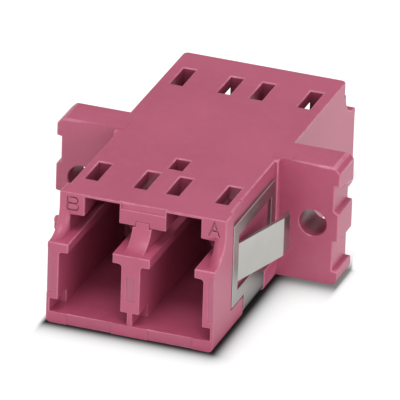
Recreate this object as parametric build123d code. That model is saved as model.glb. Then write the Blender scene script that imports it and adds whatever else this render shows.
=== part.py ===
from build123d import *
import os

# Duplex LC fibre adapter in the simplex footprint, with a two-hole flange. Millimetres.
# X runs along the front (port B at -X, port A at +X), Y from front to rear, Z up.
# The origin is the middle of the underside.

# Ports
PORT_PITCH = 6.25          # centre to centre of the two LC ports
PORT_W = 4.80              # plug cavity, across
PORT_H = 4.80              # plug cavity, up
FLOOR_T = 0.88             # wall under the ports
SIDE_WALL_T = 0.875        # outer wall beside a port
LEDGE_T = 0.74             # ledges that the latch lugs ride over
NECK_W = 3.40              # gap between the ledges, for the plug's latch arm
LUG_LANE_H = 1.35          # from the ledges to the underside of the hanging blocks
LATCH_LANE_W = 2.66        # gap between the hanging blocks, for the latch itself
LATCH_ROOF_T = 0.20        # roof over the latch lane at its mouth
ROOF_T = 0.90              # roof over the latch lane, inside
ROOF_RAMP = 2.10           # length over which the roof thickens
CORNER_R = 0.25            # under the ledges, where they meet a wall

# Body
BODY_H = 9.50
TOP_LEN = 26.00            # top face, front to rear
END_STEP = 2.20            # how far each port's lower half stands out of the top face
PILLAR_R = 1.90            # concave front of the pillars, from hanging block to ledge
PILLAR_IN = 0.05           # outer pillars stand this far back from the port's wall
LANE_DEPTH = 6.50          # the latch lanes run in as far as this from each end of the top
BOTTOM_EDGE_R = 0.35
END_CORNER_R = 0.40        # upright corners of the top face, at the rear

# Latch windows in the top face
SLOT_W = 1.00
SLOT_LEN = 3.06
SLOT_IN = 2.66             # from the end of the top face to the latch's catch edge
SLOT_HALF_SPACING = 1.88   # from a port's centre to the middle of each window

# Relief pockets and pads on the end faces
POCKET_H = 1.00
POCKET_IN = 0.62
POCKET_LEN = 1.85
FOOT_W = 0.42
PAD_DEPTH = 0.06
RIM_PAD_W = 3.44
POST_PAD_W = 0.45
POST_PAD_H = 3.55
POST_PAD_UP = 2.38
DIVIDER_PAD_W = 0.66
DIVIDER_PAD_H = 1.92
DIVIDER_PAD_UP = 2.82
BROW_H = 0.55              # field across the top of the middle hanging block
BROW_DEPTH = 0.14
BROW_IN = 0.14             # from the block's sides

# Flange
FLANGE_W = 22.00
FLANGE_TOP = 9.50
FLANGE_LOW = 0.14          # underside of its ears, above the body's
FLANGE_T = 3.10
HOLE_IN = 2.00             # hole's centre, from the flange's outer edge
HOLE_D = 2.10
HOLE_RIM = 0.07            # bevel round each hole, in front
FLANGE_BEVEL = 0.45        # top and bottom outer edges
NOTCH_IN = 0.38            # grip notches in the outer edges
NOTCH_SLOPE = 0.50         # rise of their sloped sides
UPPER_NOTCH_DIP = 0.60     # share of that slope on the low side, in front
LOWER_NOTCH_DIP = 0.20
UPPER_NOTCH_FRONT = (6.05, 8.20)
UPPER_NOTCH_REAR = (5.85, 6.70)
LOWER_NOTCH_FRONT = (1.25, 3.62)
LOWER_NOTCH_REAR = (1.25, 3.08)
ROOT_PAD_H = 0.03          # faint field on top, where the flange's front meets the body
ROOT_PAD_LEN = 1.10
ROOT_PAD_W = 1.50
ROOT_PAD_IN = 0.65         # how far it reaches on to the body
ROOT_STRIP = 0.50          # body's full-width strip in front of the flange

# Middle web, sleeves and their bosses
WEB_T = 1.60               # each of the two webs that meet at the middle
SLEEVE_LEN = 6.80
SLEEVE_D = 1.62
SLEEVE_BORE_D = 1.25
SLEEVE_SLIT = 0.30
BOSS_D = 2.60
BOSS_LIP_T = 0.40
LEAD_IN_D = 1.40           # narrow end of the ferrule's lead-in, which keeps the sleeve in
LEAD_IN_ANGLE = 35         # from the axis
BOSS_BEVEL = 0.15
SLEEVE_PLAY = 0.03         # round the sleeve
SLEEVE_END_PLAY = 0.10     # at each end of the sleeve

# Divider that slides in from the front
FIT = 0.03                 # between divider and housing, each side
TONGUE_W = 1.00            # top of the divider's pillar, let into the middle hanging block
TONGUE_H = 0.42
TONGUE_LEN = 0.80          # how far the tongue runs back under the block
ARM_LEN = 5.00             # snap arm on top of the divider
ARM_T = 0.55
HOOK_W = 0.90
HOOK_H = 0.62
HOOK_FLAT = 0.42           # flat top of the hook, before its ramp
WINDOW_W = 1.08            # hook's window in the top face
WINDOW_LEN = 1.83
WINDOW_IN = 6.64           # from the front end of the top face
HOOK_PLAY = 0.08

# Spring clip, one folded strip
CLIP_T = 0.25
CLIP_PROUD = 0.00          # outer face against the body's side
CLIP_BEND_R = 0.40         # inside its lower corners
CLIP_FRONT = 1.75          # frame's front edge, from the front end of the top face
CLIP_LEN = 8.72            # frame, front to rear
CLIP_BOTTOM = 1.74
CLIP_DROP = 1.22           # from the body's top face down to the frame's top edge
CLIP_GAP = 0.12            # round the strip in its recess
STRAP_FRONT = 4.35         # strip under the body, from the front end of the top face
STRAP_W = 4.25
CLIP_WINDOW_FRONT = 1.10   # clip's window, from the frame's front edge
CLIP_WINDOW_LEN = 6.90
CLIP_WINDOW_BOTTOM = 2.75
CLIP_WINDOW_TOP = 7.15
LEAF_BOTTOM = 3.48
LEAF_H = 3.02
LEAF_RUN = 5.25            # sloping part, measured front to rear
LEAF_OUT = 1.60            # how far its tip stands out
LEAF_LIP = 1.20            # straight end of the leaf

# Small pips left by the mould
TOP_PIP_REACH = 0.28       # over the top edge: how far it runs inwards, and down the side
TOP_PIP_T = 0.06           # how far it stands proud
TOP_PIP_W = 0.26
TOP_PIP_IN = 3.83          # its middle, from the front end of the top face
SIDE_PIP_D = 0.80
SIDE_PIP_OUT = 0.40
SIDE_PIP_IN = 0.25         # its middle, from the front end of the top face
SIDE_PIP_DROP = 0.70       # its middle, below the hanging blocks
SIDE_PIP_TAPER = 10

EPS = 0.5                  # cutters run this far past a face

# Worked-out places
PORT_X = PORT_PITCH / 2
BODY_W = PORT_PITCH + PORT_W + 2 * SIDE_WALL_T
SIDE_X = BODY_W / 2
INNER_X = SIDE_X - SIDE_WALL_T
POST_HALF = PORT_X - PORT_W / 2
LEDGE_IN = PORT_X - NECK_W / 2
LEDGE_OUT = PORT_X + NECK_W / 2
PORT_Z = FLOOR_T + PORT_H / 2
LEDGE_LOW = FLOOR_T + PORT_H
LEDGE_TOP = LEDGE_LOW + LEDGE_T
BLOCK_LOW = LEDGE_TOP + LUG_LANE_H
ROOF_LOW = BODY_H - ROOF_T
TOP_Y = TOP_LEN / 2
END_Y = TOP_Y + END_STEP
LANE_Y = TOP_Y - LANE_DEPTH
CATCH_Y = TOP_Y - SLOT_IN
HOLE_X = FLANGE_W / 2 - HOLE_IN
HOLE_Z = (FLANGE_LOW + FLANGE_TOP) / 2
CLIP_X = SIDE_X - CLIP_T + CLIP_PROUD
CLIP_TOP = BODY_H - CLIP_DROP
CLIP_Y = -TOP_Y + CLIP_FRONT
STRAP_Y = -TOP_Y + STRAP_FRONT
FLANGE_Y0 = -FLANGE_T / 2
FLANGE_Y1 = FLANGE_T / 2
ROOT_Y = FLANGE_Y0 - ROOT_STRIP
SEAT_END = SLEEVE_LEN / 2 + SLEEVE_END_PLAY
BOSS_LEN = SEAT_END + BOSS_LIP_T - WEB_T


def block(x0, x1, y0, y1, z0, z1):
    """Box between two corners."""
    middle = ((x0 + x1) / 2, (y0 + y1) / 2, (z0 + z1) / 2)
    return Pos(*middle) * Box(x1 - x0, y1 - y0, z1 - z0)


def side_prism(points, x0, x1):
    """Closed outline of (y, z) points, carried from x0 to x1."""
    outline = make_face(Polyline(*points, close=True))
    return extrude(Plane.YZ.offset(x0) * outline, amount=x1 - x0)


def both_sides(solid):
    """The solid and its mirror image across the middle plane."""
    return solid + mirror(solid, about=Plane.YZ)


def rear(solid):
    """The same form at the other end."""
    return mirror(solid, about=Plane.XZ)


def pillar(x0, x1):
    """Front pillar whose face sweeps from the hanging block down to the ledge."""
    foot = (-TOP_Y - PILLAR_R, LEDGE_TOP)
    top = (-TOP_Y, LEDGE_TOP + PILLAR_R)
    root = -TOP_Y + END_CORNER_R
    bow = RadiusArc(foot, top, PILLAR_R)
    if (bow @ 0.5).Y > LEDGE_TOP + PILLAR_R / 2:
        bow = RadiusArc(foot, top, -PILLAR_R)
    back = Polyline(top, (root, LEDGE_TOP + PILLAR_R), (root, LEDGE_TOP), foot)
    outline = make_face([bow, *back.edges()])
    return extrude(Plane.YZ.offset(x0) * outline, amount=x1 - x0)


def latch_lane(x):
    """Lane for the plug's latch, with the roof that leads it down."""
    mouth = BODY_H - LATCH_ROOF_T
    low = LEDGE_TOP
    outline = [
        (-TOP_Y - EPS, low),
        (-TOP_Y - EPS, mouth),
        (-TOP_Y, mouth),
        (-TOP_Y + ROOF_RAMP, ROOF_LOW),
        (-LANE_Y, ROOF_LOW),
        (-LANE_Y, low),
    ]
    return side_prism(outline, x - LATCH_LANE_W / 2, x + LATCH_LANE_W / 2)


def latch_windows(x):
    """The two windows that catch a latch's lugs, and the space under the roof between them."""
    y0 = -CATCH_Y
    y1 = y0 + SLOT_LEN
    half = SLOT_HALF_SPACING + SLOT_W / 2
    cut = block(x - half, x + half, y0, y1, BLOCK_LOW - EPS, ROOF_LOW)
    for side in (-1, 1):
        middle = x + side * SLOT_HALF_SPACING
        cut += block(middle - SLOT_W / 2, middle + SLOT_W / 2, y0, y1, BLOCK_LOW, BODY_H + EPS)
    return cut


def plug_cavity(x):
    """Cavity of one port up to the web, with its rounded corners under the ledges."""
    section = Rectangle(PORT_W, PORT_H)
    section = fillet(section.vertices().group_by(Axis.Y)[-1], CORNER_R)
    length = END_Y - WEB_T + EPS
    plane = Plane(origin=(x, -WEB_T, PORT_Z), x_dir=(1, 0, 0), z_dir=(0, -1, 0))
    cavity = extrude(plane * section, amount=length)
    neck = block(x - NECK_W / 2, x + NECK_W / 2, -END_Y - EPS, -WEB_T, LEDGE_LOW - EPS, LEDGE_TOP)
    lane = block(x - PORT_W / 2, x + PORT_W / 2, -TOP_Y - EPS, -LANE_Y, LEDGE_TOP, BLOCK_LOW)
    return cavity + neck + lane + latch_lane(x) + latch_windows(x)


def corner_pocket(x_wall, way):
    """Relief at the foot of a wall, cut `way` from the wall's face."""
    x0, x1 = sorted((x_wall - way * EPS, x_wall + way * POCKET_IN))
    y0 = -END_Y - EPS
    return block(x0, x1, y0, -END_Y + POCKET_LEN, FLOOR_T, FLOOR_T + POCKET_H)


def rim_pads():
    """Shallow fields on an end face: under each port and on each outer post."""
    y0 = -END_Y - EPS
    y1 = -END_Y + PAD_DEPTH
    cut = block(PORT_X - RIM_PAD_W / 2, PORT_X + RIM_PAD_W / 2, y0, y1, -EPS, FLOOR_T + EPS)
    post = block(SIDE_X - POST_PAD_W, SIDE_X + EPS, y0, y1, POST_PAD_UP, POST_PAD_UP + POST_PAD_H)
    return both_sides(cut + post)


def flange_notch(front, back, dip):
    """Grip notch in one outer edge. Its low side slopes in front and its high side behind."""
    outer = FLANGE_W / 2 + EPS
    inner = FLANGE_W / 2 - NOTCH_IN
    rise = NOTCH_SLOPE * (outer - inner) / NOTCH_IN
    at_front = [
        (inner, front[0]),
        (inner, front[1]),
        (outer, front[1]),
        (outer, front[0] - dip * rise),
    ]
    at_back = [(inner, back[0]), (inner, back[1]), (outer, back[1] + rise), (outer, back[0])]
    faces = []
    for y, outline in ((FLANGE_Y0 - EPS, at_front), (FLANGE_Y1 + EPS, at_back)):
        plane = Plane(origin=(0, y, 0), x_dir=(1, 0, 0), z_dir=(0, -1, 0))
        faces.append(plane * make_face(Polyline(*outline, close=True)))
    return loft(faces, ruled=True)


def flange():
    """Flange with bevelled outer edges, grip notches and two screw holes."""
    plate = block(-FLANGE_W / 2, FLANGE_W / 2, FLANGE_Y0, FLANGE_Y1, FLANGE_LOW, FLANGE_TOP)
    ends = plate.edges().filter_by(Axis.Y).group_by(Axis.Z)
    plate = chamfer(ends[-1], FLANGE_BEVEL)
    plate = fillet(plate.edges().filter_by(Axis.Y).group_by(Axis.Z)[0], FLANGE_BEVEL)
    plate -= both_sides(flange_notch(UPPER_NOTCH_FRONT, UPPER_NOTCH_REAR, UPPER_NOTCH_DIP))
    plate -= both_sides(flange_notch(LOWER_NOTCH_FRONT, LOWER_NOTCH_REAR, LOWER_NOTCH_DIP))
    plane = Plane(origin=(HOLE_X, FLANGE_Y1 + EPS, HOLE_Z), z_dir=(0, -1, 0))
    hole = extrude(plane * Circle(HOLE_D / 2), amount=FLANGE_T + 2 * EPS)
    rim_plane = Plane(origin=(HOLE_X, FLANGE_Y0 + HOLE_RIM, HOLE_Z), z_dir=(0, -1, 0))
    rim = extrude(rim_plane * Circle(HOLE_D / 2), amount=2 * HOLE_RIM, taper=-45)
    return plate - both_sides(hole + rim)


def sleeve_seats():
    """Rear halves of the two bores for the sleeves, each with the lead-in cone at its end."""
    plane = Plane(origin=(PORT_X, -EPS, PORT_Z), x_dir=(1, 0, 0), z_dir=(0, 1, 0))
    bore = extrude(plane * Circle(SLEEVE_D / 2 + SLEEVE_PLAY), amount=SEAT_END + EPS)
    narrow = plane.offset(SEAT_END + EPS)
    lead_in = extrude(narrow * Circle(LEAD_IN_D / 2), amount=BOSS_LIP_T + EPS, taper=-LEAD_IN_ANGLE)
    return both_sides(bore + lead_in)


def front_bosses():
    """Two bosses that stand out of the front web towards the plugs."""
    plane = Plane(origin=(PORT_X, -WEB_T, PORT_Z), x_dir=(1, 0, 0), z_dir=(0, -1, 0))
    boss = extrude(plane * Circle(BOSS_D / 2), amount=BOSS_LEN)
    nose = boss.edges().filter_by(GeomType.CIRCLE).group_by(Axis.Y)[0]
    return both_sides(chamfer(nose, BOSS_BEVEL))


def clip_recess():
    """Recess that the spring clip lies in: down both sides from the top edge, and under the body."""
    gap = CLIP_GAP
    high = block(CLIP_X, SIDE_X + EPS, CLIP_Y - gap, ROOT_Y, CLIP_BOTTOM - gap, BODY_H + EPS)
    y0 = STRAP_Y - gap
    y1 = STRAP_Y + STRAP_W + gap
    around = block(-SIDE_X - EPS, SIDE_X + EPS, y0, y1, -EPS, CLIP_BOTTOM)
    kept = block(-CLIP_X, CLIP_X, y0, y1, CLIP_T, CLIP_BOTTOM + EPS)
    kept = fillet(kept.edges().filter_by(Axis.Y).group_by(Axis.Z)[0], CLIP_BEND_R)
    return both_sides(high) + (around - kept)


def make_housing():
    """Moulded body: shell, flange, rear ports, rear web with its bosses, mouths of the front ports."""
    lower = block(-SIDE_X, SIDE_X, -END_Y, END_Y, 0, LEDGE_TOP)
    lower = fillet(lower.edges().filter_by(Axis.Y).group_by(Axis.Z)[0], BOTTOM_EDGE_R)
    upper = block(-SIDE_X, SIDE_X, -TOP_Y, TOP_Y, LEDGE_TOP - EPS, BODY_H)
    upper = fillet(upper.edges().filter_by(Axis.Z).group_by(Axis.Y)[-1], END_CORNER_R)
    body = lower + upper + flange()

    ports = plug_cavity(PORT_X) + plug_cavity(-PORT_X)
    pockets = both_sides(corner_pocket(INNER_X, 1) + corner_pocket(POST_HALF, -1))
    front_pocket = both_sides(corner_pocket(INNER_X, 1))
    body -= ports + front_pocket
    body -= rear(ports + pockets)
    body += rear(block(-FOOT_W / 2, FOOT_W / 2, -END_Y, -END_Y + POCKET_LEN + EPS, FLOOR_T, LEDGE_LOW))

    # room for the divider, from the front to the middle
    room = block(-INNER_X, INNER_X, -END_Y - EPS, 0, FLOOR_T, LEDGE_LOW - CORNER_R)
    room += block(-LEDGE_OUT, LEDGE_OUT, -END_Y - EPS, 0, FLOOR_T, LEDGE_TOP)
    slide = POST_HALF + FIT
    room += block(-slide, slide, -END_Y - EPS, -LANE_Y, LEDGE_LOW, BLOCK_LOW)
    arm_end = -TOP_Y + WINDOW_IN + WINDOW_LEN + HOOK_PLAY
    room += block(-slide, slide, -LANE_Y - EPS, arm_end, LEDGE_LOW, BLOCK_LOW)
    window_y = -TOP_Y + WINDOW_IN
    room += block(
        -WINDOW_W / 2, WINDOW_W / 2, window_y, window_y + WINDOW_LEN, BLOCK_LOW - EPS, BODY_H + EPS
    )
    notch = TONGUE_W / 2 + FIT
    notch_end = -TOP_Y + TONGUE_LEN + FIT
    room += block(-notch, notch, -TOP_Y - EPS, notch_end, BLOCK_LOW - EPS, BLOCK_LOW + TONGUE_H)
    body -= room

    block_half = PORT_X - LATCH_LANE_W / 2
    outer_pillar = both_sides(pillar(INNER_X + PILLAR_IN, SIDE_X))
    body += outer_pillar + rear(outer_pillar + pillar(-POST_HALF, POST_HALF))

    pads = rim_pads()
    body -= pads + rear(pads)
    brow = block_half - BROW_IN
    body -= block(-brow, brow, -TOP_Y - EPS, -TOP_Y + BROW_DEPTH, BODY_H - BROW_H, BODY_H + EPS)
    pad_x = SIDE_X - ROOT_PAD_IN
    root = block(
        pad_x, pad_x + ROOT_PAD_W, FLANGE_Y0, FLANGE_Y0 + ROOT_PAD_LEN, LEDGE_TOP, FLANGE_TOP + ROOT_PAD_H
    )
    body += both_sides(root)
    body += rear(front_bosses())
    body -= sleeve_seats()
    body -= clip_recess()

    pip_y = -TOP_Y + TOP_PIP_IN
    body += block(
        CLIP_X - TOP_PIP_REACH, CLIP_X + TOP_PIP_T,
        pip_y - TOP_PIP_W / 2, pip_y + TOP_PIP_W / 2,
        BODY_H - TOP_PIP_REACH, BODY_H + TOP_PIP_T,
    )
    pip_foot = (-SIDE_X + SIDE_PIP_OUT, -TOP_Y + SIDE_PIP_IN, BLOCK_LOW - SIDE_PIP_DROP)
    pip_plane = Plane(origin=pip_foot, z_dir=(-1, 0, 0))
    pip = extrude(pip_plane * Circle(SIDE_PIP_D / 2), amount=2 * SIDE_PIP_OUT, taper=SIDE_PIP_TAPER)
    return body + pip


def make_divider():
    """Front divider: middle wall with its T-shaped ledge, front web and front sleeve bosses."""
    half = POST_HALF
    wall = block(-half, half, -END_Y, -WEB_T + EPS, FLOOR_T, LEDGE_LOW)
    relief = block(-half - EPS, half + EPS, -END_Y - EPS, -END_Y + POCKET_LEN, 0, FLOOR_T + POCKET_H)
    wall -= relief
    wall += block(-FOOT_W / 2, FOOT_W / 2, -END_Y, -END_Y + POCKET_LEN + EPS, FLOOR_T, LEDGE_LOW)
    ledge = block(-LEDGE_IN, LEDGE_IN, -END_Y, -WEB_T + EPS, LEDGE_LOW, LEDGE_TOP)
    stem = wall + ledge
    inner = stem.edges().filter_by(Axis.Y).filter_by(
        lambda edge: abs(abs(edge.center().X) - half) < 1e-3 and abs(edge.center().Z - LEDGE_LOW) < 1e-3
    )
    stem = fillet(inner, CORNER_R)

    arm_end = -TOP_Y + WINDOW_IN + WINDOW_LEN
    upper = block(-half, half, -TOP_Y, arm_end, LEDGE_TOP - FIT, BLOCK_LOW - FIT)
    upper -= block(
        -half - EPS, half + EPS, arm_end - ARM_LEN, arm_end + EPS, LEDGE_TOP, BLOCK_LOW - FIT - ARM_T
    )
    hook_y = -TOP_Y + WINDOW_IN + HOOK_PLAY
    hook_end = arm_end - HOOK_PLAY
    ramp = hook_y + HOOK_FLAT
    hook = side_prism(
        [
            (hook_y, BLOCK_LOW - FIT - ARM_T),
            (hook_y, BLOCK_LOW + HOOK_H),
            (ramp, BLOCK_LOW + HOOK_H),
            (hook_end, BLOCK_LOW - FIT),
            (hook_end, BLOCK_LOW - FIT - ARM_T),
        ],
        -HOOK_W / 2,
        HOOK_W / 2,
    )

    column = pillar(-half, half)
    column -= block(-half - EPS, half + EPS, -END_Y, 0, BLOCK_LOW - FIT, BODY_H)
    tongue = pillar(-TONGUE_W / 2, TONGUE_W / 2)
    tongue += block(-TONGUE_W / 2, TONGUE_W / 2, -TOP_Y, -TOP_Y + TONGUE_LEN, LEDGE_TOP, BODY_H)
    tongue -= block(-half, half, -END_Y, 0, BLOCK_LOW + TONGUE_H - FIT, BODY_H + PILLAR_R)

    web_x = INNER_X - FIT
    neck_x = LEDGE_OUT - FIT
    web = block(-web_x, web_x, -WEB_T, 0, FLOOR_T, LEDGE_LOW - CORNER_R - FIT)
    web += block(-neck_x, neck_x, -WEB_T, 0, FLOOR_T, LEDGE_TOP - FIT)

    divider = stem + upper + hook + column + tongue + web + front_bosses()
    divider -= rear(sleeve_seats())
    pad_y = -END_Y - EPS
    divider -= block(
        -DIVIDER_PAD_W / 2, DIVIDER_PAD_W / 2, pad_y, -END_Y + PAD_DEPTH,
        DIVIDER_PAD_UP, DIVIDER_PAD_UP + DIVIDER_PAD_H,
    )
    return divider


def make_sleeve(x):
    """Split alignment sleeve, open along its top."""
    plane = Plane(origin=(x, -SLEEVE_LEN / 2, PORT_Z), x_dir=(1, 0, 0), z_dir=(0, 1, 0))
    tube = extrude(plane * (Circle(SLEEVE_D / 2) - Circle(SLEEVE_BORE_D / 2)), amount=SLEEVE_LEN)
    half = SLEEVE_SLIT / 2
    return tube - block(x - half, x + half, -SLEEVE_LEN, SLEEVE_LEN, PORT_Z, PORT_Z + SLEEVE_D)


def make_clip():
    """Spring clip: strap under the body, a frame up each side and a leaf bent out of each frame."""
    outer = block(-CLIP_X - CLIP_T, CLIP_X + CLIP_T, STRAP_Y, STRAP_Y + STRAP_W, 0, CLIP_BOTTOM + EPS)
    outer = fillet(outer.edges().filter_by(Axis.Y).group_by(Axis.Z)[0], CLIP_BEND_R + CLIP_T)
    inner = block(-CLIP_X, CLIP_X, STRAP_Y - EPS, STRAP_Y + STRAP_W + EPS, CLIP_T, BODY_H)
    inner = fillet(inner.edges().filter_by(Axis.Y).group_by(Axis.Z)[0], CLIP_BEND_R)
    strap = outer - inner

    x0 = CLIP_X
    x1 = CLIP_X + CLIP_T
    y1 = CLIP_Y + CLIP_LEN
    window_y0 = CLIP_Y + CLIP_WINDOW_FRONT
    frame = block(x0, x1, CLIP_Y, y1, CLIP_BOTTOM, CLIP_TOP)
    frame -= block(
        x0 - EPS, x1 + EPS, window_y0, window_y0 + CLIP_WINDOW_LEN, CLIP_WINDOW_BOTTOM, CLIP_WINDOW_TOP
    )
    centre_line = Polyline(
        (x0 + CLIP_T / 2, window_y0 - CLIP_T),
        (x0 + CLIP_T / 2, window_y0),
        (x0 + CLIP_T / 2 + LEAF_OUT, window_y0 + LEAF_RUN),
        (x0 + CLIP_T / 2 + LEAF_OUT, window_y0 + LEAF_RUN + LEAF_LIP),
    )
    strip = trace(centre_line, CLIP_T)
    leaf = extrude(Plane.XY.offset(LEAF_BOTTOM) * strip, amount=LEAF_H)
    return strap + both_sides(frame + leaf)


parts = {
    "housing": make_housing(),
    "port_divider": make_divider(),
    "alignment_sleeve_b": make_sleeve(-PORT_X),
    "alignment_sleeve_a": make_sleeve(PORT_X),
    "mounting_clip": make_clip(),
}

os.makedirs("parts", exist_ok=True)
for name, solid in parts.items():
    export_step(solid, f"parts/{name}.step")
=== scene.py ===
"""Looks of a duplex LC fibre adapter: moulded housing, snap-in divider, split sleeves and spring clip."""

import math

import bmesh
import bpy
from mathutils import Matrix, Vector


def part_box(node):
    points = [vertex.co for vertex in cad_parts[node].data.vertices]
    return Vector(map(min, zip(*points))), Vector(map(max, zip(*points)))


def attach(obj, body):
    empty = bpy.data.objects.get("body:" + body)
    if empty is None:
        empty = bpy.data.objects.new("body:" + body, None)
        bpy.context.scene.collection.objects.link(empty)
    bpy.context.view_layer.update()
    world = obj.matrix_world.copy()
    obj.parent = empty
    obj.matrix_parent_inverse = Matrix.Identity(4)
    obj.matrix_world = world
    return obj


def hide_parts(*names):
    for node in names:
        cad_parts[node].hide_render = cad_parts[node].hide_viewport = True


MM = 0.001

# Camera, set to the photograph's view (degrees, millimetres)
VIEW_AZIMUTH = 19.34
VIEW_ELEVATION = 25.78
VIEW_ROLL = -1.94
VIEW_TARGET = (0.0, -1.0, 4.5)
VIEW_DISTANCE = 639.4
VIEW_RIGHT = 0.10          # how far the camera stands right of the line to the target
VIEW_UP = 0.15
FOCAL_PIXELS = 8747.3
FRAME_PIXELS = 400
SENSOR_WIDTH = 36.0
VIEW_NEAR = 0.05           # clipping, in metres
VIEW_FAR = 20.0

# Rounded edges (millimetres)
HOUSING_EDGE = 0.10
OUTLINE_EDGE = 0.20        # round the top face
TOP_BAND = 9.45            # above this, and outside the next two, lies the top face's outline
OUTLINE_X = 6.05
OUTLINE_Y = 12.80
SEAM_EDGE = 0.03           # at the joint of the divider's tongue, which lies within the next four
SEAM_X = 0.60
SEAM_Y = -12.90
SEAM_LOW = 7.10
SEAM_HIGH = 8.45
DIVIDER_EDGE = 0.07
CLIP_EDGE = 0.035
EDGE_SEGMENTS = 3
SHARP_ANGLE = math.radians(28)   # an edge as sharp as this gets rounded
SMOOTH_ANGLE = math.radians(38)  # up to this the shading runs across an edge
FOLD_ANGLE = math.radians(10)    # from this on it breaks at a fold of the clip's leaf
FLAT_ANGLE = math.radians(0.6)   # triangles within this of one plane become one face
ROOM_SHARE = 0.42          # share of the room beside an edge that its rounding may take
LEAST_ROOM = 0.05          # with less room than this an edge stays sharp
FINE_STEP = 0.035          # a step this fine doesn't interrupt the rounding beside it
RUN_COSINE = 0.8           # a run of edges bends by less than 37 degrees at a time
TURN_COSINE = 0.5          # an edge that turns off by more than 60 degrees limits the room
UPRIGHT_COSINE = 0.99
MERGE_METRES = 1e-6

# Port marks cut into the housing (millimetres)
MARK_PLANE = -13.0         # front of the hanging blocks
MARK_DEPTH = 0.08
MARK_STROKE = 0.12
MARK_B = (-5.83, -4.88, 8.09, 9.21)  # left, right, low and high
MARK_A = (5.00, 5.96, 8.14, 9.34)
MARK_MERGE = 1e-5
BOWL_STEPS = 10
A_BAR_SHARE = 0.30         # height of the crossbar

# Where the housing's and the clip's finish changes, and where shade is painted into it (millimetres)
FIELD_PLANE = -15.14       # bottom of the shallow fields on the front face
RIM_FIELD = 0.3            # strength of the field's colour on the lower rim
RIM_TOP = 1.0
SAME_PLANE = 0.01          # nearer than this counts as on a plane
FRAME_X = 6.45             # the clip's leaves lie further out
# painted shade darkens the latch windows, which lie in this box, and the flange's holes below
WINDOW_X = 6.20              # the latch windows lie inside this box
WINDOW_Y = 12.80
WINDOW_LOW = 6.50
WINDOW_HIGH = 9.38
HOLE_X = 9.00              # holes of the flange
HOLE_Z = 4.82
HOLE_REACH = 1.06
HOLE_HALF = 1.5            # half the length of their walls, without the edges

# Split sleeves (millimetres)
SLEEVE_WALL = 0.185
SLEEVE_SLIT = 0.30
SLEEVE_EDGE = 0.05
SLEEVE_STEPS = 64

# Colours as displayed, 0 to 255
PLASTIC_BODY = (181, 83, 112)
PLASTIC_DEEP = (174, 77, 106)
PLASTIC_PALE = (189, 95, 123)
PLASTIC_FIELD = (168, 92, 115)
# painted shade in the latch windows and the flange's holes
PLASTIC_HOLLOW_SHADE = (128, 50, 70)
# painted shade in the grooves of the engraved letters
PLASTIC_GROOVE_SHADE = (132, 55, 76)
# painted highlight on the rounded edges
PLASTIC_EDGE_HIGHLIGHT = (206, 128, 152)
STEEL_DULL = (174, 173, 168)
STEEL_CLEAR = (180, 179, 175)
# painted shade on the clip's flat frame, for the dim reflection it shows
STEEL_FRAME_SHADE = (144, 140, 138)
STEEL_SHEARED = (208, 207, 203)
CERAMIC_WARM = (236, 234, 226)
CERAMIC_WHITE = (246, 245, 240)
FLOOR_WHITES = ((148, 149, 149), (151, 151, 151))
FLOOR_SHADED = (16, 18, 18)
FLOOR_GLOW = (199, 199, 199)       # light that the floor throws on the part
FLOOR_GLOW_SEEN = (235, 235, 235)  # and what makes it white where it is seen
WHITE = (255, 255, 255)
BLACK = (0, 0, 0)

# Places of a colour Mix node's sockets and output
MIX_FACTOR = 0
MIX_FIRST = 6
MIX_SECOND = 7
MIX_RESULT = 2

# How strongly a pattern, a place or an edge takes its colour; some of these colours are painted shade or
# a painted highlight
MOTTLE_TINT = 0.25
SPECK_TINT = 0.10
FIELD_TINT = 0.7
HOLLOW_SHADE_TINT = 0.55
GROOVE_SHADE_TINT = 0.7
EDGE_HIGHLIGHT_TINTS = (0.25, 0.60)
FRAME_SHADE_TINT = 0.4
SHEARED_TINT = 0.55

# Gloss: least roughness, refractive index, and depth of the fine relief (millimetres)
PLASTIC_ROUGHNESS = 0.35
STEEL_ROUGHNESS = 0.26
CERAMIC_ROUGHNESS = 0.16
FLOOR_ROUGHNESS = 0.9
PLASTIC_INDEX = 1.58
CERAMIC_INDEX = 2.1
PLASTIC_GRAIN = 0.010
STEEL_LINES = 0.002
CERAMIC_RINGS = 0.003

# Floor (metres)
FLOOR_SIZE = 6.0
FLOOR_GAP = 0.00002

# Shadow on the floor (millimetres)
BODY_FOOT = (6.4, 15.2)    # half width and half length of what stands on the floor
FLANGE_FOOT = (11.0, 1.5)
BODY_SHADE = (0.55, 0.80)  # how far their shadows reach across and along, squared
FLANGE_SHADE = (0.04, 1.20)
FLANGE_SHARE = 0.8         # how much of the light the flange's shadow takes
SHADE_LEFT = (-7.0, -6.4)  # the shadow fades out over this stretch, left of the part
SHADE_REAR = (1.5, 4.0)    # and its sides draw in under the part over this one, behind the flange
SHADE_INSET = 0.5
SHADE_TIGHT = 60.0         # and there they fall off this many times as fast
SHADE_UNSEEN = 0.35        # share of the shadow that the light thrown back on the part takes up

# Surround: its strength in three places, and the share of a direction over which each place sets in
WORLD_REAR = 0.15          # low down behind the part
REAR_ALONG = (0.1, 0.7)
REAR_UPWARD = (0.35, 0.70)
WORLD_LEFT = 0.35
LEFT_ACROSS = (-0.8, -0.2)
WORLD_RIGHT = 0.75         # high on the right
RIGHT_ACROSS = (0.2, 0.6)
RIGHT_UPWARD = (0.2, 0.5)

# Soft boxes (metres, watts)
LAMP_TARGET = (0.0, 0.0, 0.005)
RIGHT_PLACE = (0.55, -0.32, 0.22)
RIGHT_SIZE = 0.30
RIGHT_POWER = 0.70
LEFT_PLACE = (-0.50, -0.35, 0.28)
LEFT_SIZE = 0.30
LEFT_POWER = 0.45
TOP_PLACE = (0.02, -0.15, 0.57)
TOP_SIZE = 0.20
TOP_POWER = 0.82


def linear(colour):
    """Displayed colour, 0 to 255, as the linear colour that shaders take."""
    channels = []
    for value in colour:
        value /= 255
        channels.append(value / 12.92 if value <= 0.04045 else ((value + 0.055) / 1.055) ** 2.4)
    return (*channels, 1.0)


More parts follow.
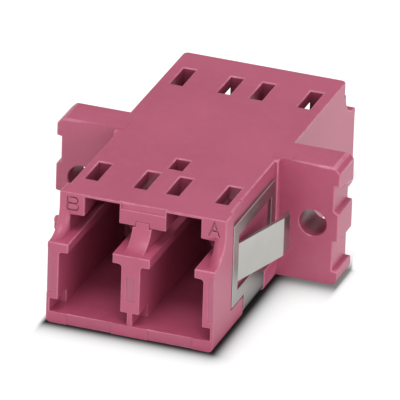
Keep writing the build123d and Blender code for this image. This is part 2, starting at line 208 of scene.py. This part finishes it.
class Wire:
    """A node's output that takes part in sums: each operator adds one Math node."""

    def __init__(self, finish, socket):
        self.finish = finish
        self.socket = socket

    def __add__(self, other):
        return self.finish.math("ADD", self, other)

    def __radd__(self, other):
        return self.finish.math("ADD", other, self)

    def __sub__(self, other):
        return self.finish.math("SUBTRACT", self, other)

    def __rsub__(self, other):
        return self.finish.math("SUBTRACT", other, self)

    def __mul__(self, other):
        return self.finish.math("MULTIPLY", self, other)

    def __rmul__(self, other):
        return self.finish.math("MULTIPLY", other, self)


class Finish:
    """Nodes of one material or of the world, all made by a single method."""

    def __init__(self, owner):
        owner.use_nodes = True
        self.owner = owner
        self.tree = owner.node_tree
        self.tree.nodes.clear()

    def node(self, kind, settings=None, inputs=None, output=0):
        """Adds a node: first its settings, then its sockets' values and links."""
        node = self.tree.nodes.new(kind)
        for key, value in (settings or {}).items():
            setattr(node, key, value)
        for key, value in (inputs or {}).items():
            if isinstance(value, Wire):
                self.tree.links.new(value.socket, node.inputs[key])
            else:
                node.inputs[key].default_value = value
        return Wire(self, node.outputs[output]) if node.outputs else None

    def math(self, operation, first, second):
        """One Math node on two values, of which at least one varies."""
        return self.node("ShaderNodeMath", {"operation": operation}, {0: first, 1: second})

    def place(self, scale=(1.0, 1.0, 1.0)):
        """Object coordinates in millimetres, stretched along each axis."""
        here = self.node("ShaderNodeTexCoord", output="Object")
        size = tuple(value / MM for value in scale)
        return self.node("ShaderNodeMapping", None, {"Vector": here, "Scale": size})

    def noise(self, where, scale, detail=2.0, roughness=0.5):
        """Cloudy pattern from 0 to 1, with about scale clouds to the millimetre."""
        values = {"Vector": where, "Scale": scale, "Detail": detail, "Roughness": roughness}
        return self.node("ShaderNodeTexNoise", None, values, "Fac")

    def spread(self, value, low, high, to_low=0.0, to_high=1.0):
        """Maps low..high on to to_low..to_high, clamped and eased."""
        settings = {"interpolation_type": "SMOOTHSTEP", "clamp": True}
        values = {"Value": value, "From Min": low, "From Max": high, "To Min": to_low, "To Max": to_high}
        return self.node("ShaderNodeMapRange", settings, values)

    def mix(self, factor, first, second):
        """The first colour where the factor is 0 and the second where it is 1."""
        settings = {"data_type": "RGBA", "clamp_factor": True}
        values = {MIX_FACTOR: factor}
        for key, colour in ((MIX_FIRST, first), (MIX_SECOND, second)):
            values[key] = linear(colour) if isinstance(colour, tuple) else colour
        return self.node("ShaderNodeMix", settings, values, MIX_RESULT)

    def split(self, vector):
        """The vector's x, y and z."""
        parts = self.node("ShaderNodeSeparateXYZ", None, {"Vector": vector})
        return [Wire(self, output) for output in parts.socket.node.outputs]

    def attribute(self, name):
        """The mesh attribute of this name as a value."""
        return self.node("ShaderNodeAttribute", {"attribute_name": name}, None, "Fac")

    def bump(self, height, strength, distance):
        """Normal tilted by the height's slope."""
        values = {"Height": height, "Strength": strength, "Distance": distance}
        return self.node("ShaderNodeBump", None, values)

    def seen(self):
        """1 for rays from the camera, also by way of gloss or glass, and 0 for those that carry light."""
        path = self.node("ShaderNodeLightPath").socket.node.outputs
        camera = Wire(self, path["Is Camera Ray"])
        glossy = self.math("MAXIMUM", camera, Wire(self, path["Is Glossy Ray"]))
        return self.math("MAXIMUM", glossy, Wire(self, path["Is Transmission Ray"]))

    def surface(self, values):
        """Ends the material in one shader with these values, and gives the material."""
        shader = self.node("ShaderNodeBsdfPrincipled", None, values)
        self.node("ShaderNodeOutputMaterial", None, {"Surface": shader})
        return self.owner


def moulded_plastic():
    """Satin pink moulding: fine skin, faint flow clouds, greyer fields, a painted highlight on rounded
    edges, and painted shade deepening windows, holes and letters.
    """
    finish = Finish(bpy.data.materials.new("moulded_plastic"))
    where = finish.place()
    clouds = finish.noise(where, scale=0.11, detail=3.0)
    mottle = finish.noise(where, scale=1.4, detail=3.0)
    speck = finish.noise(where, scale=9.0)
    colour = finish.mix(finish.spread(clouds, 0.32, 0.68), PLASTIC_DEEP, PLASTIC_BODY)
    colour = finish.mix(finish.spread(mottle, 0.45, 0.75) * MOTTLE_TINT, colour, PLASTIC_PALE)
    colour = finish.mix(finish.spread(speck, 0.60, 0.80) * SPECK_TINT, colour, PLASTIC_DEEP)
    field = finish.attribute("field")
    colour = finish.mix(field * FIELD_TINT, colour, PLASTIC_FIELD)
    # painted shade: the latch windows and the flange's holes drawn darker
    colour = finish.mix(finish.attribute("painted_hollow_shade") * HOLLOW_SHADE_TINT, colour, PLASTIC_HOLLOW_SHADE)
    # painted shade: the grooves of the engraved letters drawn darker
    colour = finish.mix(finish.attribute("engraved") * GROOVE_SHADE_TINT, colour, PLASTIC_GROOVE_SHADE)
    # painted highlight on the rounded edges, patchy, where they also shine more
    edge_highlight = finish.attribute("rounded") * finish.spread(mottle + speck * 0.4, 0.45, 0.85, *EDGE_HIGHLIGHT_TINTS)
    colour = finish.mix(edge_highlight, colour, PLASTIC_EDGE_HIGHLIGHT)
    grain = finish.noise(where, scale=16.0, detail=4.0, roughness=0.65)
    roughness = PLASTIC_ROUGHNESS + mottle * 0.08 + field * 0.10 - edge_highlight * 0.10
    normal = finish.bump(grain, strength=0.20, distance=PLASTIC_GRAIN * MM)
    values = {"Base Color": colour, "Roughness": roughness, "Normal": normal, "IOR": PLASTIC_INDEX}
    return finish.surface(values)


def spring_steel():
    """Rolled strip: lines along the rolling direction, faint blotches, bright sheared edges, and painted
    shade on the flat frame for its dim reflection.
    """
    finish = Finish(bpy.data.materials.new("spring_steel"))
    rolling = finish.noise(finish.place((1.0, 0.03, 1.0)), scale=9.0, detail=3.0, roughness=0.6)
    blotch = finish.noise(finish.place(), scale=0.35)
    colour = finish.mix(finish.spread(blotch, 0.35, 0.70), STEEL_DULL, STEEL_CLEAR)
    # painted shade: the flat frame drawn darker than the leaves, as its dim reflection
    colour = finish.mix(finish.attribute("frame") * FRAME_SHADE_TINT, colour, STEEL_FRAME_SHADE)
    edge = finish.attribute("rounded")
    colour = finish.mix(edge * SHEARED_TINT, colour, STEEL_SHEARED)
    roughness = STEEL_ROUGHNESS + rolling * 0.08 + edge * 0.30
    normal = finish.bump(rolling, strength=0.12, distance=STEEL_LINES * MM)
    values = {"Base Color": colour, "Metallic": 1.0, "Roughness": roughness, "Normal": normal}
    return finish.surface(values)


def zirconia():
    """Ground ceramic, nearly white, with fine rings left by the grinding."""
    finish = Finish(bpy.data.materials.new("zirconia"))
    rings = finish.noise(finish.place((0.4, 9.0, 0.4)), scale=2.0)
    cloud = finish.noise(finish.place(), scale=0.7)
    colour = finish.mix(finish.spread(cloud, 0.3, 0.7), CERAMIC_WARM, CERAMIC_WHITE)
    roughness = CERAMIC_ROUGHNESS + rings * 0.08
    normal = finish.bump(rings, strength=0.15, distance=CERAMIC_RINGS * MM)
    values = {"Base Color": colour, "Roughness": roughness, "Normal": normal, "IOR": CERAMIC_INDEX}
    return finish.surface(values)


def studio_floor():
    """White light table with the tight shadow along the foot of the body and of the flange."""
    finish = Finish(bpy.data.materials.new("studio_floor"))
    across, along, _ = finish.split(finish.place())
    inset = finish.spread(along, *SHADE_REAR, 0.0, SHADE_INSET)
    tight = finish.spread(along, *SHADE_REAR, 1.0, SHADE_TIGHT)

    def open_share(foot, shade):
        """0 under a foot of the part, rising to 1 away from it."""
        out = finish.math("MAXIMUM", finish.math("ABSOLUTE", across, 0.0) + inset - foot[0], 0.0)
        off = finish.math("MAXIMUM", finish.math("ABSOLUTE", along, 0.0) - foot[1], 0.0)
        square = out * out * tight * (1.0 / shade[0]) + off * off * (1.0 / shade[1])
        return finish.math("DIVIDE", square, square + 1.0)

    beside_flange = 1.0 - FLANGE_SHARE + FLANGE_SHARE * open_share(FLANGE_FOOT, FLANGE_SHADE)
    clear = open_share(BODY_FOOT, BODY_SHADE) * beside_flange
    seen = finish.seen()
    depth = finish.spread(across, *SHADE_LEFT) * (SHADE_UNSEEN + (1.0 - SHADE_UNSEEN) * seen)
    clear = 1.0 - (1.0 - clear) * depth
    white = finish.mix(finish.noise(finish.place(), scale=0.004), *FLOOR_WHITES)
    colour = finish.mix(clear, FLOOR_SHADED, white)
    glow = finish.mix(clear, BLACK, finish.mix(seen, FLOOR_GLOW, FLOOR_GLOW_SEEN))
    values = {
        "Base Color": colour,
        "Roughness": FLOOR_ROUGHNESS,
        "Emission Color": glow,
        "Emission Strength": 1.0,
    }
    return finish.surface(values)


def piece(name, mesh):
    """Object at the origin that holds the mesh or curve."""
    thing = bpy.data.objects.new(name, mesh)
    bpy.context.scene.collection.objects.link(thing)
    return thing


def settle(thing):
    """Turns an object's live modifiers into a plain mesh."""
    depsgraph = bpy.context.evaluated_depsgraph_get()
    mesh = bpy.data.meshes.new_from_object(thing.evaluated_get(depsgraph), depsgraph=depsgraph)
    thing.modifiers.clear()
    thing.data = mesh
    return thing


def clean_copy(node, name):
    """Merged copy of a CAD node's loose triangles, with its flat faces whole."""
    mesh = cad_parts[node].data.copy()
    mesh.materials.clear()
    bm = bmesh.new()
    bm.from_mesh(mesh)
    bmesh.ops.remove_doubles(bm, verts=bm.verts, dist=MERGE_METRES)
    bmesh.ops.dissolve_limit(
        bm, angle_limit=FLAT_ANGLE, use_dissolve_boundaries=False, verts=bm.verts, edges=bm.edges
    )
    bm.to_mesh(mesh)
    bm.free()
    return piece(name, mesh)


def room_beside(edge, face):
    """How far the face reaches from the edge before another sharp edge."""
    start, end = edge.verts[0].co, edge.verts[1].co
    along = (end - start).normalized()
    inward = face.normal.cross(along)
    if inward.dot(face.calc_center_median() - start) < 0:
        inward = -inward
    room = math.inf
    for other in face.edges:
        if other is edge or other.calc_face_angle(0.0) < SHARP_ANGLE:
            continue
        if set(other.verts) & set(edge.verts):
            turn = (other.verts[1].co - other.verts[0].co).normalized().dot(along)
            if abs(turn) < TURN_COSINE and other.calc_length() > FINE_STEP * MM:
                room = min(room, other.calc_length())
            continue
        ends = [vert.co - start for vert in other.verts]
        reach = [step.dot(along) for step in ends]
        if max(reach) < 0 or min(reach) > (end - start).length:
            continue
        depth = [step.dot(inward) for step in ends]
        if max(depth) > 0:
            room = min(room, max(min(depth), 0.0) if min(depth) > 0 else max(depth))
    return room


def runs_on(edge, other):
    """Does the other edge carry on from this one, without a corner between them?"""
    first = (edge.verts[1].co - edge.verts[0].co).normalized()
    second = (other.verts[1].co - other.verts[0].co).normalized()
    return abs(first.dot(second)) > RUN_COSINE


def even_out(sizes):
    """Gives each run of edges the least rounding along it."""
    waiting = list(sizes)
    while waiting:
        edge = waiting.pop()
        for vert in edge.verts:
            for other in vert.link_edges:
                if other in sizes and sizes[other] > sizes[edge] and runs_on(edge, other):
                    sizes[other] = sizes[edge]
                    waiting.append(other)


def soften(thing, wish, widest):
    """Rounds each sharp edge by its wish, as far as the faces beside it leave room.

    The roundings get the face attribute "rounded". Material slot 1 tells them apart until then.
    """
    mesh = thing.data
    bm = bmesh.new()
    bm.from_mesh(mesh)
    weight = bm.edges.layers.float.new("bevel_weight_edge")
    sizes = {}
    for edge in bm.edges:
        if edge.is_convex and edge.calc_face_angle(0.0) >= SHARP_ANGLE:
            room = min(room_beside(edge, face) for face in edge.link_faces)
            kept = room <= LEAST_ROOM * MM or edge.calc_length() <= FINE_STEP * MM
            sizes[edge] = 0.0 if kept else min(wish(edge), ROOM_SHARE * room / MM)
    even_out(sizes)
    for edge, size in sizes.items():
        edge[weight] = size / widest
    bm.to_mesh(mesh)
    bm.free()
    rounding = thing.modifiers.new("rounding", "BEVEL")
    rounding.limit_method = "WEIGHT"
    rounding.width = widest * MM
    rounding.segments = EDGE_SEGMENTS
    rounding.use_clamp_overlap = False
    rounding.loop_slide = False
    rounding.material = 1
    mesh.materials.append(None)
    mesh.materials.append(None)
    settle(thing)
    mesh = thing.data
    rounded = [float(polygon.material_index) for polygon in mesh.polygons]
    mesh.attributes.new("rounded", "FLOAT", "FACE").data.foreach_set("value", rounded)
    mesh.polygons.foreach_set("material_index", [0] * len(mesh.polygons))
    mesh.materials.clear()
    return thing


def is_seam(edge):
    """Does the edge lie along the joint between the divider's tongue and its notch?"""
    middle = (edge.verts[0].co + edge.verts[1].co) / (2 * MM)
    return abs(middle.x) < SEAM_X and middle.y < SEAM_Y and SEAM_LOW < middle.z < SEAM_HIGH


def housing_wish(edge):
    """Rounding of a housing edge: wide round the top face, narrow at the joint."""
    if is_seam(edge):
        return SEAM_EDGE
    for vert in edge.verts:
        x, y, z = vert.co / MM
        if z < TOP_BAND or (abs(x) < OUTLINE_X and abs(y) < OUTLINE_Y):
            return HOUSING_EDGE
    return OUTLINE_EDGE


def divider_wish(edge):
    """Rounding of a divider edge."""
    return SEAM_EDGE if is_seam(edge) else DIVIDER_EDGE


def clip_wish(edge):
    """Rounding of the clip's sheared edges."""
    return CLIP_EDGE


def mark_faces(thing, name, test):
    """Face attribute with what the test gives for each face's middle, in millimetres."""
    values = [float(test(face.center / MM)) for face in thing.data.polygons]
    thing.data.attributes.new(name, "FLOAT", "FACE").data.foreach_set("value", values)


def in_mark(point):
    """Is the point inside one of the two engraved letters?"""
    depth = point.y - MARK_PLANE
    if not SAME_PLANE < depth <= MARK_DEPTH + SAME_PLANE:
        return False
    for left, right, low, high in (MARK_B, MARK_A):
        if left <= point.x <= right and low <= point.z <= high:
            return True
    return False


def in_field(point):
    """1 on the bottom of a shallow field of the front face, and less on those of its lower rim."""
    if abs(point.y - FIELD_PLANE) > SAME_PLANE:
        return 0.0
    return RIM_FIELD if point.z < RIM_TOP else 1.0


def in_window_or_hole(point):
    """Is the point in a latch window or in one of the flange's holes?"""
    if abs(point.x) < WINDOW_X and abs(point.y) < WINDOW_Y and WINDOW_LOW < point.z < WINDOW_HIGH:
        return True
    off = math.hypot(abs(point.x) - HOLE_X, point.z - HOLE_Z)
    return off < HOLE_REACH and abs(point.y) < HOLE_HALF


def in_frame(point):
    """Is the point on the clip's flat frame rather than on a leaf?"""
    return abs(point.x) < FRAME_X


def is_fold(edge, rounded):
    """Is the edge an upright fold of the clip's leaf?"""
    along = (edge.verts[1].co - edge.verts[0].co).normalized()
    flat = all(face[rounded] == 0.0 for face in edge.link_faces)
    return flat and abs(along.z) > UPRIGHT_COSINE and edge.calc_face_angle(0.0) > FOLD_ANGLE


def crease_folds(thing):
    """Keeps the clip's folds crisp."""
    bm = bmesh.new()
    bm.from_mesh(thing.data)
    rounded = bm.faces.layers.float["rounded"]
    for edge in bm.edges:
        if is_fold(edge, rounded):
            edge.smooth = False
    bm.to_mesh(thing.data)
    bm.free()


def shade(thing, material, crease=None):
    """Gives the piece its finish, flat faces and smooth roundings."""
    mesh = thing.data
    mesh.materials.clear()
    mesh.materials.append(material)
    mesh.shade_smooth()
    mesh.set_sharp_from_angle(angle=SMOOTH_ANGLE)
    if crease:
        crease(thing)
    normals = thing.modifiers.new("flat_faces", "WEIGHTED_NORMAL")
    normals.keep_sharp = True
    normals.weight = 100
    return settle(thing)


def stamp(loops, plane, depth):
    """Closed (x, z) loops as a flat-bottomed cutter that enters a front face. Inner loops are islands.

    The curve is a plate from -1 to 1, which the depth then scales.
    """
    curve = bpy.data.curves.new("stamp", "CURVE")
    curve.dimensions = "2D"
    curve.fill_mode = "BOTH"
    curve.extrude = 1.0
    for loop in loops:
        spline = curve.splines.new("POLY")
        spline.points.add(len(loop) - 1)
        for target, (x, z) in zip(spline.points, loop):
            target.co = (x, z, 0.0, 1.0)
        spline.use_cyclic_u = True
    shape = piece("stamp", curve)
    depsgraph = bpy.context.evaluated_depsgraph_get()
    mesh = bpy.data.meshes.new_from_object(shape.evaluated_get(depsgraph))
    bpy.data.objects.remove(shape)
    bm = bmesh.new()
    bm.from_mesh(mesh)
    bmesh.ops.remove_doubles(bm, verts=bm.verts, dist=MARK_MERGE)
    for vert in bm.verts:
        x, z, side = vert.co
        vert.co = Vector((x, plane + side * depth, z)) * MM
    bmesh.ops.recalc_face_normals(bm, faces=bm.faces)
    bm.to_mesh(mesh)
    bm.free()
    return piece("stamp", mesh)


def cut(thing, tool):
    """Cuts the tool out of the piece and removes it."""
    groove = thing.modifiers.new("groove", "BOOLEAN")
    groove.operation = "DIFFERENCE"
    groove.solver = "EXACT"
    groove.object = tool
    settle(thing)
    bpy.data.objects.remove(tool)


def bowl(bend, low, high):
    """Half round from the upper to the lower end of one bowl of a letter."""
    radius = (high - low) / 2
    turns = [math.radians(90 - 180 * step / BOWL_STEPS) for step in range(BOWL_STEPS + 1)]
    return [(bend + radius * math.cos(turn), low + radius + radius * math.sin(turn)) for turn in turns]


def letter_b(left, right, low, high):
    """Outline and two islands of the mark beside port B."""
    middle = (low + high) / 2
    half = MARK_STROKE / 2
    stem = left + MARK_STROKE
    upper_bend = right - (high - middle) / 2 - half
    lower_bend = right - (middle - low) / 2
    outline = [(left, low), (left, high)] + bowl(upper_bend, middle, high) + bowl(lower_bend, low, middle)
    upper = [(stem, high - MARK_STROKE)] + bowl(upper_bend, middle + half, high - MARK_STROKE)
    upper += [(stem, middle + half)]
    lower = [(stem, middle - half)] + bowl(lower_bend, low + MARK_STROKE, middle - half)
    lower += [(stem, low + MARK_STROKE)]
    return [outline, upper, lower]


def letter_a(left, right, low, high):
    """Outline and island of the mark beside port A."""
    middle = (left + right) / 2
    slope = (middle - left) / (high - low)
    foot = MARK_STROKE * math.hypot(1.0, slope)
    bar_low = low + A_BAR_SHARE * (high - low)
    bar_high = bar_low + MARK_STROKE
    tip = foot / 4

    def inner(z, side):
        """Where the inner side of the left (-1) or right (1) leg is at this height."""
        return middle + side * (middle - left - slope * (z - low) - foot)

    outline = [(left, low), (middle - tip, high), (middle + tip, high), (right, low)]
    outline += [(inner(low, 1), low), (inner(bar_low, 1), bar_low)]
    outline += [(inner(bar_low, -1), bar_low), (inner(low, -1), low)]
    peak = low + (middle - left - foot) / slope
    return [outline, [(inner(bar_high, -1), bar_high), (middle, peak), (inner(bar_high, 1), bar_high)]]


def make_housing(plastic):
    """Moulded housing with rounded edges and its two engraved port marks."""
    shell = clean_copy("housing", "housing_shell")
    for loops in (letter_b(*MARK_B), letter_a(*MARK_A)):
        cut(shell, stamp(loops, MARK_PLANE, MARK_DEPTH))
    soften(shell, housing_wish, OUTLINE_EDGE)
    # faces that get painted shade: the grooves of the engraved letters
    mark_faces(shell, "engraved", in_mark)
    mark_faces(shell, "field", in_field)
    # faces that get painted shade: the latch windows and the flange's holes
    mark_faces(shell, "painted_hollow_shade", in_window_or_hole)
    return shade(shell, plastic)


def make_divider(plastic):
    """Divider between the front ports, with rounded edges."""
    insert = soften(clean_copy("port_divider", "divider_insert"), divider_wish, DIVIDER_EDGE)
    mark_faces(insert, "field", in_field)
    return shade(insert, plastic)


def make_clip(steel):
    """Folded spring clip, its sheared edges slightly rounded."""
    strip = soften(clean_copy("mounting_clip", "clip_strip"), clip_wish, CLIP_EDGE)
    # faces that get painted shade: the clip's flat frame
    mark_faces(strip, "frame", in_frame)
    return shade(strip, steel, crease_folds)


def sleeve_tree():
    """Geometry of a split sleeve: a wall section carried round an arc that leaves the slit open."""
    tree = bpy.data.node_groups.new("split_sleeve", "GeometryNodeTree")
    kinds = dict.fromkeys(("Length", "Outer Diameter", "Wall", "Slit", "Edge"), "NodeSocketFloat")
    kinds["Middle"] = "NodeSocketVector"
    kinds["Finish"] = "NodeSocketMaterial"
    keys = {}
    for name, kind in kinds.items():
        keys[name] = tree.interface.new_socket(name, in_out="INPUT", socket_type=kind).identifier
    tree.interface.new_socket("Geometry", in_out="OUTPUT", socket_type="NodeSocketGeometry")

    def node(kind, settings=None, inputs=None):
        """Adds a node: first its settings, then its sockets' values and links."""
        made = tree.nodes.new(kind)
        for key, value in (settings or {}).items():
            setattr(made, key, value)
        for key, value in (inputs or {}).items():
            if isinstance(value, bpy.types.NodeSocket):
                tree.links.new(value, made.inputs[key])
            else:
                made.inputs[key].default_value = value
        return made

    def math_of(operation, first, second):
        """One Math node on two values, of which at least one is a socket."""
        return node("ShaderNodeMath", {"operation": operation}, {0: first, 1: second}).outputs[0]

    given = node("NodeGroupInput").outputs
    outer = math_of("MULTIPLY", given["Outer Diameter"], 0.5)
    radius = math_of("SUBTRACT", outer, math_of("MULTIPLY", given["Wall"], 0.5))
    half_slit = math_of("DIVIDE", math_of("MULTIPLY", given["Slit"], 0.5), radius)
    start = math_of("ADD", half_slit, math.pi / 2)
    sweep = math_of("SUBTRACT", 2 * math.pi, math_of("MULTIPLY", half_slit, 2.0))
    arc = node(
        "GeometryNodeCurveArc",
        {"mode": "RADIUS"},
        {"Resolution": SLEEVE_STEPS, "Radius": radius, "Start Angle": start, "Sweep Angle": sweep},
    ).outputs[0]
    section = node(
        "GeometryNodeCurvePrimitiveQuadrilateral",
        {"mode": "RECTANGLE"},
        {"Width": given["Wall"], "Height": given["Length"]},
    ).outputs[0]
    section = node(
        "GeometryNodeFilletCurve",
        {"mode": "POLY"},
        {"Curve": section, "Radius": given["Edge"], "Count": EDGE_SEGMENTS},
    ).outputs[0]
    tube = node(
        "GeometryNodeCurveToMesh", None, {"Curve": arc, "Profile Curve": section, "Fill Caps": True}
    ).outputs[0]
    turned = node(
        "GeometryNodeTransform",
        None,
        {"Geometry": tube, "Translation": given["Middle"], "Rotation": (math.pi / 2, 0.0, 0.0)},
    ).outputs[0]
    real = node("GeometryNodeRealizeInstances", None, {"Geometry": turned}).outputs[0]
    dressed = node("GeometryNodeSetMaterial", None, {"Geometry": real, "Material": given["Finish"]})
    node("NodeGroupOutput", None, {"Geometry": dressed.outputs[0]})
    return tree, keys


def make_sleeve(tree, keys, ceramic, node, name):
    """One split sleeve in the place of its CAD node."""
    low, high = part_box(node)
    diameter = high.x - low.x
    values = {
        "Length": high.y - low.y,
        "Outer Diameter": diameter,
        "Wall": SLEEVE_WALL * MM,
        "Slit": SLEEVE_SLIT * MM,
        "Edge": SLEEVE_EDGE * MM,
        "Middle": Vector(((low.x + high.x) / 2, (low.y + high.y) / 2, low.z + diameter / 2)),
        "Finish": ceramic,
    }
    sleeve = piece(name, bpy.data.meshes.new(name))
    modifier = sleeve.modifiers.new("split_sleeve", "NODES")
    modifier.node_group = tree
    for key, value in values.items():
        modifier[keys[key]] = value
    settle(sleeve)
    return shade(sleeve, ceramic)


def make_floor():
    """Wide light table just under the part."""
    half = FLOOR_SIZE / 2
    mesh = bpy.data.meshes.new("studio_floor")
    ring = ((-half, -half), (half, -half), (half, half), (-half, half))
    mesh.from_pydata([(x, y, -FLOOR_GAP) for x, y in ring], [], [(0, 1, 2, 3)])
    mesh.materials.append(studio_floor())
    floor = piece("studio_floor", mesh)


def make_lamp(name, place, size, power):
    """Square soft box that faces the part and stays out of the camera's sight."""
    lamp = bpy.data.lights.new(name, "AREA")
    lamp.shape = "SQUARE"
    lamp.size = size
    lamp.energy = power
    holder = bpy.data.objects.new(name, lamp)
    bpy.context.scene.collection.objects.link(holder)
    holder.visible_camera = False
    holder.location = place
    holder.rotation_euler = (Vector(LAMP_TARGET) - Vector(place)).to_track_quat("-Z", "Y").to_euler()


def make_world():
    """White surround, weaker at the sides and low down behind the part, and the same for every ray."""
    studio = Finish(bpy.data.worlds.new("studio"))
    bpy.context.scene.world = studio.owner
    across, along, upward = studio.split(studio.node("ShaderNodeTexCoord", output="Generated"))
    rear = studio.spread(along, *REAR_ALONG) * studio.spread(upward, *REAR_UPWARD, 1.0, 0.0)
    left = studio.spread(across, *LEFT_ACROSS, 1.0, 0.0)
    right = studio.spread(across, *RIGHT_ACROSS) * studio.spread(upward, *RIGHT_UPWARD)
    share = (1.0 - (1.0 - WORLD_REAR) * rear) * (1.0 - (1.0 - WORLD_LEFT) * left)
    share = share * (1.0 - (1.0 - WORLD_RIGHT) * right)
    surround = studio.node("ShaderNodeBackground", None, {"Color": studio.mix(share, BLACK, WHITE)})
    studio.node("ShaderNodeOutputWorld", None, {"Surface": surround})


def make_camera():
    """Long lens at the photograph's viewing angle."""
    azimuth = math.radians(VIEW_AZIMUTH)
    elevation = math.radians(VIEW_ELEVATION)
    roll = math.radians(VIEW_ROLL)
    reach = math.cos(elevation)
    back = Vector((math.sin(azimuth) * reach, -math.cos(azimuth) * reach, math.sin(elevation)))
    level = Vector((math.cos(azimuth), math.sin(azimuth), 0.0))
    upright = back.cross(level)
    right = level * math.cos(roll) - upright * math.sin(roll)
    up = level * math.sin(roll) + upright * math.cos(roll)
    place = Vector(VIEW_TARGET) + back * VIEW_DISTANCE + right * VIEW_RIGHT + up * VIEW_UP
    lens = bpy.data.cameras.new("camera")
    lens.sensor_fit = "HORIZONTAL"
    lens.sensor_width = SENSOR_WIDTH
    lens.lens = FOCAL_PIXELS / FRAME_PIXELS * SENSOR_WIDTH
    lens.clip_start = VIEW_NEAR
    lens.clip_end = VIEW_FAR
    camera = bpy.data.objects.new("camera", lens)
    turn = Matrix((right, up, back)).transposed().to_4x4()
    camera.matrix_world = Matrix.Translation(place * MM) @ turn
    bpy.context.scene.collection.objects.link(camera)
    bpy.context.scene.camera = camera


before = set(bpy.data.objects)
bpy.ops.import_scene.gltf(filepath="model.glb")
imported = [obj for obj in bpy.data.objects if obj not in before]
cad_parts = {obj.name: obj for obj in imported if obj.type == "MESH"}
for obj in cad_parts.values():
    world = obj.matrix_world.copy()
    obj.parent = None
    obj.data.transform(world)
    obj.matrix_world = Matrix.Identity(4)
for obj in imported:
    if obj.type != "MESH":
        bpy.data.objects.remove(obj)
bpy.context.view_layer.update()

make_camera()
plastic = moulded_plastic()
steel = spring_steel()
ceramic = zirconia()

made = [
    (make_housing(plastic), "housing", "moulded_plastic"),
    (make_divider(plastic), "port_divider", "moulded_plastic"),
    (make_clip(steel), "mounting_clip", "spring_steel"),
]
tree, keys = sleeve_tree()
for node, name in (("alignment_sleeve_b", "sleeve_b"), ("alignment_sleeve_a", "sleeve_a")):
    made.append((make_sleeve(tree, keys, ceramic, node, name), node, "zirconia"))
for thing, node, slot in made:
    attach(thing, "root")
    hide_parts(node)

make_floor()
make_world()
make_lamp("right_box", RIGHT_PLACE, RIGHT_SIZE, RIGHT_POWER)
make_lamp("left_box", LEFT_PLACE, LEFT_SIZE, LEFT_POWER)
make_lamp("top_box", TOP_PLACE, TOP_SIZE, TOP_POWER)
bpy.context.scene.view_settings.view_transform = "Standard"
